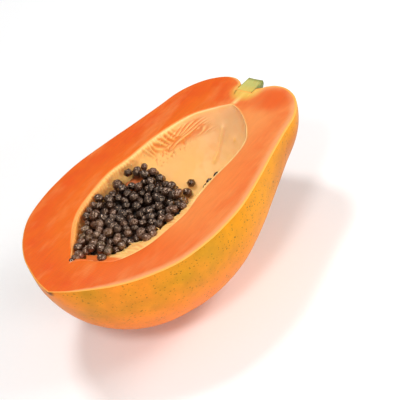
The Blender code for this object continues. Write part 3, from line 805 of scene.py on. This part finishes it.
def pulpWithPaintedShade():
    # Jelly and torn membrane between the seeds: wet, with orange flecks of membrane on a near-black
    # ground that is painted shade for the deep gaps between the seeds.
    made, add, place, look = newMaterial("pulpWithPaintedShade", seedLook)
    flecks = add("TexNoise", place, 1 / look["fleckSize"], 4.0, 0.6)
    colour = add("ValToRGB", flecks, stops=[(0.52, look["pulp"]), (0.75, look["pulpRed"])])
    (x, y), _ = seeds["gap"]
    fromGap = add("VectorMath DISTANCE", place, tuple(spotAt(x, y, 0.006)))
    inGap = add("MapRange", fromGap, 0.0085, 0.0045, 0.0, 0.9)
    return finished(made, {
        "Base Color": add("Mix", inGap, colour, look["pulpLight"], **rgba), "Roughness": 0.5,
        "Normal": add("Bump", 0.6, 0.001, None, flecks)})


seeds = {
    "length": 0.0068,
    "width": 0.0058,
    "clearance": 0.0002,         # between a seed and the cavity's wall
    "sizes": (0.80, 1.12),
    "shapes": (0.88, 1.08),      # how unevenly each grows in its three directions
    "layers": ((-0.0010, 0.0014, 18000), (0.0036, 0.0054, 8000), (0.0080, 0.0100, 1800)),
    "spacing": 0.0050,
    "top": 0.0030,               # depth of the top seeds' centres under the cut face
    "slope": 3.2,                # fall of the heap outside its outline
    "slopeStart": 0.096,         # from here on seeds lie on that slope too
    "creep": 0.0016,             # how far seeds may move out of the outline
    "gap": ((0.1060, -0.0230), 0.0036),     # a gap between them where the membrane shows
    "dip": ((0.0900, -0.0040), 0.0180, 0.0050),
    "outline": (
        (0.0350, -0.0085), (0.0365, -0.0110), (0.0440, -0.0145), (0.0560, -0.0190),
        (0.0670, -0.0265), (0.0720, -0.0310), (0.0830, -0.0325), (0.0900, -0.0265),
        (0.0990, -0.0290), (0.1105, -0.0290), (0.1175, -0.0220), (0.1160, -0.0140),
        (0.1125, -0.0045), (0.1075, 0.0085), (0.1015, 0.0160), (0.0930, 0.0275),
        (0.0880, 0.0250), (0.0820, 0.0275), (0.0710, 0.0240), (0.0660, 0.0275),
        (0.0620, 0.0255), (0.0520, 0.0150), (0.0400, 0.0105), (0.0430, 0.0050),
        (0.0450, -0.0040),
    ),
    "area": ((0.020, -0.040, 0.0), (0.140, 0.040, 0.036)),
    # seeds pressed into the slit and against the near band, each with its size
    "pressed": (
        (0.0404, -0.0113, 0.0018, 0.95), (0.0352, -0.0056, 0.0019, 0.95),
        (0.0318, -0.0055, 0.0016, 0.82), (0.0284, -0.0058, 0.0014, 0.66),
        (0.0365, 0.0122, 0.0006, 0.85), (0.0425, 0.0126, 0.0002, 0.95), (0.0423, 0.0070, 0.0004, 1.0),
        (0.0418, -0.0010, 0.0006, 1.0), (0.0492, 0.0180, 0.0001, 0.90), (0.0522, 0.0117, 0.0004, 1.0),
        (0.0619, 0.0232, 0.0002, 1.0), (0.0602, 0.0290, 0.0001, 0.95), (0.0642, 0.0307, 0.0002, 0.85),
        (0.0673, 0.0273, 0.0000, 1.0), (0.0742, 0.0270, 0.0020, 0.95), (0.0796, 0.0311, 0.0002, 1.0),
        (0.0875, 0.0287, 0.0002, 0.95), (0.0917, 0.0325, 0.0004, 0.85), (0.1009, 0.0213, 0.0004, 0.95),
    ),
    "stray": (
        (0.1377, -0.0086, 0.0280, 1.00), (0.1300, -0.0065, 0.0300, 1.00),
        (0.1105, 0.0335, 0.0034, 1.00), (0.1152, 0.0330, 0.0047, 0.80),
        (0.1198, 0.0330, 0.0046, 0.95), (0.1262, 0.0330, 0.0048, 0.90),
    ),
    "strayTones": (0.25, 0.45, 0.1, 0.1, 0.1, 0.1),
    "straySink": 0.25,
    "relaxSteps": 60,
    "seed": 11,
}


def outsideHeap(fromTip, across):
    # distance to the heap's outline, 0 inside it
    corners = seeds["outline"]
    inside = False
    nearest = math.inf
    for (ax, ay), (bx, by) in zip(corners, corners[1:] + corners[:1]):
        dx, dy = bx - ax, by - ay
        share = min(max(((fromTip - ax) * dx + (across - ay) * dy) / (dx * dx + dy * dy), 0), 1)
        nearest = min(nearest, math.hypot(fromTip - ax - share * dx, across - ay - share * dy))
        if (ay > across) != (by > across) and fromTip < ax + dx * (across - ay) / dy:
            inside = not inside
    return 0.0 if inside else nearest


def heapDepth(fromTip, across):
    (x, y), radius, depth = seeds["dip"]
    dip = depth * math.exp(-(math.hypot(fromTip - x, across - y) / radius) ** 2)
    return seeds["top"] + dip + seeds["slope"] * outsideHeap(fromTip, across)


def scatterSeeds(wall):
    # centres and sizes of the heap's seeds: first those on its outline, then layer under layer
    draws = random.Random(seeds["seed"])
    centres = [spotAt(*at) for *at, _ in seeds["pressed"]]
    sizes = [size for *_, size in seeds["pressed"]]
    pressed = len(centres)

    def tryPlace(fromTip, across, under, spacing):
        size = draws.uniform(*seeds["sizes"])
        reach = seeds["width"] * size / 2 + seeds["clearance"]
        centre = spotAt(fromTip, across, under)
        below = wall.ray_cast(spotAt(fromTip, across, 0.0), Vector((0, 0, -1)))
        if below[0] is None or below[3] < under + 0.5 * reach:
            return
        foot, _, _, gap = wall.find_nearest(centre)
        if gap < reach:
            if gap < 0.4 * reach:
                return
            centre = foot + (centre - foot).normalized() * reach
        if all((centre - other).length > spacing for other in centres):
            centres.append(centre)
            sizes.append(size)

    for fromTip, across in seeds["outline"]:
        tryPlace(fromTip, across, heapDepth(fromTip, across) + draws.uniform(-0.0004, 0.0006), 0.0045)
    steep = math.hypot(1, seeds["slope"])
    low, high = seeds["area"]
    for shallow, deep, count in seeds["layers"]:
        for _ in range(count):
            fromTip, across = draws.uniform(low[0], high[0]), draws.uniform(low[1], high[1])
            share = draws.random()
            if outsideHeap(fromTip, across) == 0:
                under = heapDepth(fromTip, across) + shallow + (deep - shallow) * share
            elif fromTip < seeds["slopeStart"]:
                continue
            else:
                under = draws.uniform(low[2], high[2])
                beyond = (under - heapDepth(fromTip, across)) / steep
                if not shallow <= beyond <= deep:
                    continue
            tryPlace(fromTip, across, under, seeds["spacing"])

    # seeds that press on each other move apart, and stay off the wall
    place = np.array([tuple(c) for c in centres])
    radius = np.array(sizes) * (seeds["width"] + 0.35 * (seeds["length"] - seeds["width"])) / 2
    for _ in range(seeds["relaxSteps"]):
        gap = place[:, None] - place[None]
        dist = np.linalg.norm(gap, axis=-1) + np.eye(len(place))
        closer = np.clip((radius[:, None] + radius[None]) * 0.97 - dist, 0, None)
        push = closer * (1 - np.eye(len(place)))
        move = (gap / dist[..., None] * push[..., None]).sum(1) * 0.35
        move[:, 2] *= 0.5
        move[:pressed] = 0
        place = place + move
        for k in range(pressed, len(place)):
            centre = Vector(place[k])
            foot, _, _, away = wall.find_nearest(centre)
            reach = radius[k] + seeds["clearance"]
            if away < reach and away > 0:
                place[k] = foot + (centre - foot).normalized() * reach
    fromTip, across, _ = onFruit(place)
    (x, y), radius = seeds["gap"]
    kept = [k for k in range(len(place))
            if k < pressed or (
                fromTip[k] > seeds["slopeStart"] or outsideHeap(fromTip[k], across[k]) < seeds["creep"])
            and math.hypot(fromTip[k] - x, across[k] - y) > radius]
    return place[kept], np.array(sizes)[kept]


def seedTones(places):
    # painted shade: the seeds in the hollow are made darkest; painted highlight: those towards the slit
    # get a higher tone, lighter and with the most painted sheen
    draws = np.random.default_rng(seeds["seed"])
    fromTip, across, _ = onFruit(places)
    (x, y), radius, _ = seeds["dip"]
    paintedShadeInDip = np.exp(-(np.hypot(fromTip - x, across - y) / radius) ** 2)
    paintedSheenNearSlit = smoothStep(0.080, 0.050, fromTip)
    tones = draws.uniform(0.1, 0.8, len(places)) + 0.25 * paintedSheenNearSlit - 0.5 * paintedShadeInDip
    return np.clip(tones, 0, 1)


def placeStraySeeds(wall):
    places, sizes = [], []
    for *at, size in seeds["stray"]:
        nearBy = spotAt(*at)
        foot = wall.find_nearest(nearBy)[0]
        rise = seeds["width"] * size * (1 - seeds["straySink"]) / 2
        places.append(foot + (nearBy - foot).normalized() * rise)
        sizes.append(size)
    return np.array([tuple(p) for p in places]), np.array(sizes)


def pointCloud(name, places, values):
    # loose points that carry values, for a node tree to put shapes on
    mesh = bpy.data.meshes.new(name)
    mesh.from_pydata([tuple(p) for p in places], [], [])
    for label, data in values.items():
        flat = np.ndim(data) > 1
        item = mesh.attributes.new(label, "FLOAT_VECTOR" if flat else "FLOAT", "POINT")
        item.data.foreach_set("vector" if flat else "value", np.asarray(data, np.float32).ravel())
    return newObject(name, mesh)


def newTree(name, inputs):
    # a node tree with a material and these numbers as inputs, what adds its nodes, and its inputs
    tree = bpy.data.node_groups.new(name, "GeometryNodeTree")
    face = tree.interface
    for label, kind in (("Geometry", "Geometry"), ("Material", "Material")):
        face.new_socket(label, in_out="INPUT", socket_type="NodeSocket" + kind)
    for label, value in inputs.items():
        face.new_socket(label, in_out="INPUT", socket_type="NodeSocketFloat").default_value = value
    face.new_socket("Geometry", in_out="OUTPUT", socket_type="NodeSocketGeometry")
    add = partial(addNode, tree)
    return tree, add, add("NodeGroupInput").outputs


def putOnPoints(add, given, shape, turn):
    sizes = add("GeometryNodeInputNamedAttribute", "size", data_type="FLOAT_VECTOR")
    put = add("GeometryNodeInstanceOnPoints", given["Geometry"], None, shape, None, None, turn, sizes)
    return add("GeometryNodeRealizeInstances", put)


def endTree(add, given, shape):
    shaded = add("GeometryNodeSetShadeSmooth", shape)
    add("NodeGroupOutput", add("GeometryNodeSetMaterial", shaded, None, given["Material"]))


def seedTree():
    # puts a ridged and wrinkled seed on each point, by the point's own turn and size
    tree, add, given = newTree("seedsOnPoints", {
        "Seed width": seeds["width"], "Seed length": seeds["length"], "Ridge depth": 0.05,
        "Wrinkle size": 0.0024, "Wrinkle depth": 0.00035})
    ball = add("GeometryNodeMeshUVSphere", 12, 8, 0.5)
    # every second meridian stands out a little, as the ridges of the seed do
    where = add("GeometryNodeInputPosition")
    x, y, _ = add("SeparateXYZ", where).outputs
    turn = add("Math ARCTAN2", y, x)
    six = add("Math MULTIPLY", turn, 6.0)
    ridges = add("Math COSINE", six)
    ridged = add("Math MULTIPLY_ADD", ridges, given["Ridge depth"], 1.0)
    wide = add("Math MULTIPLY", ridged, given["Seed width"])
    scale = add("CombineXYZ", wide, wide, given["Seed length"])
    sized = add("VectorMath MULTIPLY", where, scale)
    seed = add("GeometryNodeSetPosition", ball, None, sized)
    turns = add("GeometryNodeInputNamedAttribute", "turn", data_type="FLOAT_VECTOR")
    real = putOnPoints(add, given, seed, add("FunctionNodeEulerToRotation", turns))
    finer = add("Math DIVIDE", 1.0, given["Wrinkle size"])
    noise = add("TexNoise", where, finer, 2.0)
    even = add("Math SUBTRACT", noise, 0.5)
    depth = add("Math MULTIPLY", even, given["Wrinkle depth"])
    twice = add("Math MULTIPLY", depth, 2.0)
    offset = add("VectorMath SCALE", add("GeometryNodeInputNormal"), twice)
    endTree(add, given, add("GeometryNodeSetPosition", real, None, None, offset))
    return tree


def plainMesh(item, name):
    # the item's shape with its modifiers as a mesh of its own
    shapes = bpy.context.evaluated_depsgraph_get()
    mesh = bpy.data.meshes.new_from_object(item.evaluated_get(shapes), depsgraph=shapes)
    item.modifiers.clear()
    mesh.name = name
    return mesh


def grow(name, cloud, tree, material):
    # runs the node tree on the points and keeps the result as a plain mesh
    work = cloud.modifiers.new("grow", "NODES")
    work.node_group = tree
    for item in tree.interface.items_tree:
        if item.name == "Material":
            work[item.identifier] = material
    mesh = plainMesh(cloud, name)
    bpy.data.objects.remove(cloud, do_unlink=True)
    print(f"{name}: {len(mesh.vertices)} vertices, {len(mesh.polygons)} faces")
    return newObject(name, mesh)


def growSeeds(name, places, sizes, tones, tree, coat, seed):
    draws = np.random.default_rng(seed)
    count = len(places)
    shape = draws.uniform(*seeds["shapes"], (count, 3)) * np.asarray(sizes)[:, None]
    turns = draws.uniform(0, 2 * math.pi, (count, 3))
    cloud = pointCloud(name + "Points", places, {"turn": turns, "size": shape, "tone": tones})
    return grow(name, cloud, tree, coat)


pulp = {
    "rows": 64, "steps": 44,
    "inset": 0.0005,             # gap to the cavity's wall
    "underSeeds": 0.0044,        # top of the pulp under the centres of the top seeds
    "cell": 0.0016,
    "lump": 0.0009,
    "floor": 0.060,
}


def buildPulp():
    grid = wallSections(pulp["rows"], pulp["steps"], pulp["inset"])
    slit, end = (placed(*cavity[name], -3 * pulp["inset"]) for name in ("tip", "end"))
    points = np.vstack([slit, end, grid.reshape(-1, 3)])
    ids = numbered(grid, 2)
    faces = capped(ids, 0, 1) + [[0, *ids[:, 0], 1, *ids[::-1, -1]]]
    piece = makePiece("seedPulp", points, faces, [pulpWithPaintedShade()])

    # a block under the heap's surface, of which the pulp keeps what it shares with it
    low, high = seeds["area"]
    along = np.arange(low[0] - 0.004, high[0] + 0.030, pulp["cell"])
    over = np.arange(low[1] - 0.002, high[1] + 0.002, pulp["cell"])
    top = np.array([[heapDepth(x, y) + pulp["underSeeds"] for y in over] for x in along])
    surface = placed(along[:, None], over[None], np.minimum(top, pulp["floor"] - 0.004))
    surface[..., 2] += pulp["lump"] * softNoise(surface, 0.0032, 91)
    bottom = placed(along[:, None], over[None], pulp["floor"])
    upper = numbered(surface)
    ring = np.concatenate([upper[0, :-1], upper[:-1, -1], upper[-1, :0:-1], upper[:0:-1, 0]])
    sides = [(a, b, b + upper.size, a + upper.size) for a, b in zip(ring, np.roll(ring, -1))]
    block = makePiece("pulpBlock", np.vstack([surface.reshape(-1, 3), bottom.reshape(-1, 3)]),
                      quads(upper) + quads(upper + upper.size) + sides, [])
    trim = piece.modifiers.new("trim", "BOOLEAN")
    trim.operation = "INTERSECT"
    trim.object = block
    piece.data = plainMesh(piece, "seedPulp")
    piece.data.shade_smooth()
    bpy.data.objects.remove(block, do_unlink=True)
    print(f"seedPulp: {len(piece.data.polygons)} faces after the trim")
    return piece


threads = {
    # number of threads, their distance from the rim, and from the blossom tip
    "farBand": (60, 0.0030, 0.0085, 0.036, 0.150),
    "nearBand": (34, 0.0040, 0.0130, 0.044, 0.110),
    "length": 0.0017, "width": 0.0007,
    "seed": 5,
    "shaded": "F7AE55", "lit": "FFD890", "mottleSize": 0.003,
}


def paleFibre():
    # The threads that held the seeds, torn loose: moist, soft, pale yellow.
    made, add, place, look = newMaterial("paleFibre", threads)
    mottle = add("TexNoise", place, 1 / look["mottleSize"], 2.0)
    return finished(made, {
        "Base Color": add("ValToRGB", mottle, stops=[(0.35, look["shaded"]), (0.65, look["lit"])]),
        "Roughness": 0.42, "Coat Weight": 0.3,
        "Subsurface Weight": 0.25, "Subsurface Radius": (1.0, 0.6, 0.25), "Subsurface Scale": 0.002,
        "Normal": add("Bump", 0.3, 0.0002, None, mottle)})


def threadTree():
    # a small bent thread on each point, along the point's own direction
    tree, add, given = newTree("threadsOnPoints", {
        "Thread length": threads["length"], "Thread width": threads["width"], "Bend": 0.45})
    cone = add("GeometryNodeMeshCone", 5, 4, None, 0.16, 0.5, 1.0)
    x, y, z = add("SeparateXYZ", add("GeometryNodeInputPosition")).outputs
    square = add("Math POWER", z, 2.0)
    lean = add("Math MULTIPLY", square, given["Bend"])
    wide, thick, tall = (add("Math MULTIPLY", part, given[size]) for part, size in (
        (x, "Thread width"), (y, "Thread width"), (z, "Thread length")))
    leant = add("Math MULTIPLY_ADD", lean, given["Thread length"], wide)
    thread = add("GeometryNodeSetPosition", cone, None, add("CombineXYZ", leant, thick, tall))
    facing = add("GeometryNodeInputNamedAttribute", "facing", data_type="FLOAT_VECTOR")
    roll = add("GeometryNodeInputNamedAttribute", "roll", data_type="FLOAT")
    aim = add("FunctionNodeAlignRotationToVector", None, None, facing, axis="Z")
    twist = add("FunctionNodeAxisAngleToRotation", None, roll)
    turned = add("FunctionNodeRotateRotation", aim, twist, rotation_space="LOCAL")
    endTree(add, given, putOnPoints(add, given, thread, turned))
    return tree


def growThreads(lining):
    # threads stand on the wall's fibrous band, each leaning down into the cavity
    draws = np.random.default_rng(threads["seed"])
    normal = wallNormals(lining)
    fromNear = reachAlong(lining, 1)
    fromFar = fromNear[:, -1:] - fromNear
    fromTip = onFruit(lining)[0]
    places, facing = [], []
    for down, count, low, high, start, stop, step in (
            (fromFar, *threads["farBand"], -1), (fromNear, *threads["nearBand"], 1)):
        rows, columns = np.nonzero((down > low) & (down < high) & (fromTip > start) & (fromTip < stop))
        for k in draws.choice(len(rows), count, replace=False):
            i, j = rows[k], columns[k]
            downWall = lining[i, min(max(j + step, 0), lining.shape[1] - 1)] - lining[i, j]
            downWall = downWall / np.linalg.norm(downWall)
            aim = normal[i, j] * draws.uniform(0.0, 0.35) + downWall + draws.normal(0, 0.25, 3)
            places.append(lining[i, j] - normal[i, j] * 0.0001)
            facing.append(aim / np.linalg.norm(aim))
    count = len(places)
    size = draws.uniform(0.6, 1.35, (count, 1)) * draws.uniform(0.8, 1.2, (count, 3))
    places, facing = np.array(places), np.array(facing)
    cloud = pointCloud("threadPoints", places + facing * threads["length"] * 0.35, {
        "facing": facing, "roll": draws.uniform(0, 2 * math.pi, count), "size": size})
    return grow("seedThreads", cloud, threadTree(), paleFibre())


stalk = {
    "radius": 0.0078, "start": 0.2000, "stop": 0.2130,
    "steps": 56, "rings": 22, "faceSteps": 18,
    "ribs": 5, "ribDepth": 0.00035, "taper": 0.06,
    "skin": "7E8C3A", "cut": "C0B862", "base": "DABA52", "end": "5E6A26", "vein": "DEDAA0",
    "mottleSize": 0.003, "fibreScale": (150.0, 1600.0, 1600.0),
}


def greenStalk():
    # Papaya stalk, young and green: a smooth ribbed skin, a paler moist cut face with pithy fibres,
    # yellow-green where it grew out of the fruit and darker green towards its end.
    made, add, place, look = newMaterial("greenStalk", stalk)
    x = add("SeparateXYZ", place).outputs["X"]
    mottle = add("TexNoise", place, 1 / look["mottleSize"], 4.0)
    wander = add("Math MULTIPLY_ADD", mottle, 0.003, x)
    face = add("Attribute", attribute_name="onCut").outputs["Fac"]
    nearFruit = add("MapRange", wander, 0.1010, 0.0960, 0.0, 0.9)
    nearEnd = add("MapRange", wander, 0.1045, 0.1078, 0.0, 0.85)
    stretched = add("Mapping", place, None, None, look["fibreScale"])
    fibres = add("TexNoise", stretched, 1.0, 3.0)
    vein = add("MapRange", fibres, 0.55, 0.75, 0.0, 0.45)
    tone = look["skin"]
    for share, colour in ((face, "cut"), (nearFruit, "base"), (nearEnd, "end"), (vein, "vein")):
        tone = add("Mix", share, tone, look[colour], **rgba)
    return finished(made, {
        "Base Color": tone, "Roughness": 0.5, "Subsurface Weight": 0.08, "Subsurface Scale": 0.002,
        "Normal": add("Bump", 0.5, 0.0003, None, fibres)})


def buildStalk():
    # rings of a half round: its skin side below, the flat cut on top, closed by a hub at each end
    turns = np.linspace(0, math.pi, stalk["steps"] + 1)
    flat = np.linspace(-1, 1, stalk["faceSteps"] + 1)[1:-1]
    rings, onCut = [], []
    for k in range(stalk["rings"] + 1):
        share = k / stalk["rings"]
        x = stalk["start"] + (stalk["stop"] - stalk["start"]) * share
        swell = 1 - stalk["taper"] * smoothStep(0, 1, share) - 0.10 * smoothStep(0.93, 1.0, share)
        rib = 1 - stalk["ribDepth"] / stalk["radius"] * (0.5 + 0.5 * np.cos(2 * stalk["ribs"] * turns))
        radius = stalk["radius"] * swell * rib
        across = radius * np.cos(turns)
        across = np.where(across > 0, across * fruit["socketNear"], across)
        skin = placed(x, across, radius * np.sin(turns))
        flatAcross = np.interp(flat, [-1, 1], [across[-1], across[0]])
        top = placed(x, flatAcross, 0.00012 + 0.0002 * (1 - flat ** 2))
        rings.append(np.vstack([skin, top]))
        onCut.append(np.concatenate([np.zeros(len(skin)), np.ones(len(top))]))
    rings = np.array(rings)
    rings[-1, :, 0] -= 0.0004
    middle = placed([stalk["start"], stalk["stop"]], 0, stalk["radius"] * 0.4)
    middle[1, 0] -= 0.0009
    points = np.vstack([rings.reshape(-1, 3), middle])
    ids = numbered(rings)
    faces = quads(np.hstack([ids, ids[:, :1]]))
    hub = ids.size
    for ring, centre in ((ids[0], hub), (ids[-1], hub + 1)):
        faces += [(a, b, centre) for a, b in zip(ring, np.roll(ring, -1))]
    piece = makePiece("stalkStub", points, faces, [greenStalk()])
    giveAttribute(piece, "onCut", np.concatenate([np.concatenate(onCut), [0.5, 0.5]]))
    piece.data.set_sharp_from_angle(angle=math.radians(48))
    return piece


studio = {
    "place": (-0.6275, -0.7960, 0.7610),
    "forward": (0.5192, 0.6335, -0.5737),
    "up": (0.6174, 0.1861, 0.7643),
    "lens": 180.0,               # of a sensor 36 mm wide
    "floorHalf": 4.0,
    "grainsPerMetre": 300.0,
    "world": "FFFFFF", "worldStrength": 0.27,
    # where each soft light stands, its size in metres and its power in watts
    "lights": (
        ("keyLight", (-0.85, -0.55, 1.20), 0.30, 7.2),
        ("frontLight", (-0.35, -1.40, 0.50), 0.45, 8.6),
        ("topLight", (0.15, 0.45, 1.50), 0.30, 8.8),
        ("sideLight", (1.15, -0.65, 0.70), 0.45, 5.5),
        ("fillLight", (0.55, -1.00, 1.00), 0.40, 4.5),
    ),
}


def paintedFloor():
    # Studio board with a matt white paint: even, with a trace of roller grain.
    made, add, place, look = newMaterial("paintedFloor", studio)
    grain = add("TexNoise", place, look["grainsPerMetre"], 2.0)
    return finished(made, {
        "Base Color": add("MapRange", grain, None, None, 0.98, 1.0), "Roughness": 0.85})


def buildStage():
    half = studio["floorHalf"]
    points = np.array([(-half, -half, 0), (half, -half, 0), (half, half, 0), (-half, half, 0)])
    floor = makePiece("studioFloor", points, [(0, 1, 2, 3)], [paintedFloor()])
    for name, place, size, power in studio["lights"]:
        light = bpy.data.lights.new(name, "AREA")
        light.size = size
        light.energy = power
        lamp = newObject(name, light)
        lamp.location = place
        lamp.rotation_mode = "QUATERNION"
        lamp.rotation_quaternion = (Vector((0, 0, 0.05)) - Vector(place)).to_track_quat("-Z", "Y")
    world = bpy.data.worlds.new("studioAir")
    world.use_nodes = True
    air = world.node_tree.nodes["Background"]
    air.inputs["Color"].default_value = linear(studio["world"])
    air.inputs["Strength"].default_value = studio["worldStrength"]
    bpy.context.scene.world = world
    bpy.context.scene.view_settings.view_transform = "Standard"
    lens = bpy.data.cameras.new("photoCamera")
    lens.lens = studio["lens"]
    lens.sensor_width = 36.0
    camera = newObject("photoCamera", lens)
    back = -Vector(studio["forward"]).normalized()
    right = Vector(studio["up"]).cross(back).normalized()
    turned = Matrix((right, back.cross(right), back)).transposed().to_4x4()
    camera.matrix_world = Matrix.Translation(studio["place"]) @ turned
    bpy.context.scene.camera = camera


def attach(piece, slot, *nodes):
    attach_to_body(piece, "root")
    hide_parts(*nodes)


print("fruit")
flesh, lining = buildFruit()
attach(flesh, "rind_and_flesh", "papaya_half")
wall = BVHTree.FromPolygons([Vector(p) for p in lining.reshape(-1, 3)], quads(numbered(lining)))

print("seeds")
coat, tree = wetSeedCoat(), seedTree()
places, sizes = scatterSeeds(wall)
heap = growSeeds("seedHeap", places, sizes, seedTones(places), tree, coat, 21)
attach(heap, "seeds", "seed_heap")
print(f"{len(places)} seeds in the heap")
places, sizes = placeStraySeeds(wall)
stray = growSeeds("straySeeds", places, sizes, seeds["strayTones"], tree, coat, 22)
attach(stray, "seeds", "papaya_half")

print("pulp and threads")
attach(buildPulp(), "seeds", "seed_heap")
attach(growThreads(lining), "rind_and_flesh", "papaya_half")

print("stalk")
attach(buildStalk(), "stalk", "stalk_stub")

print("stage")
buildStage()
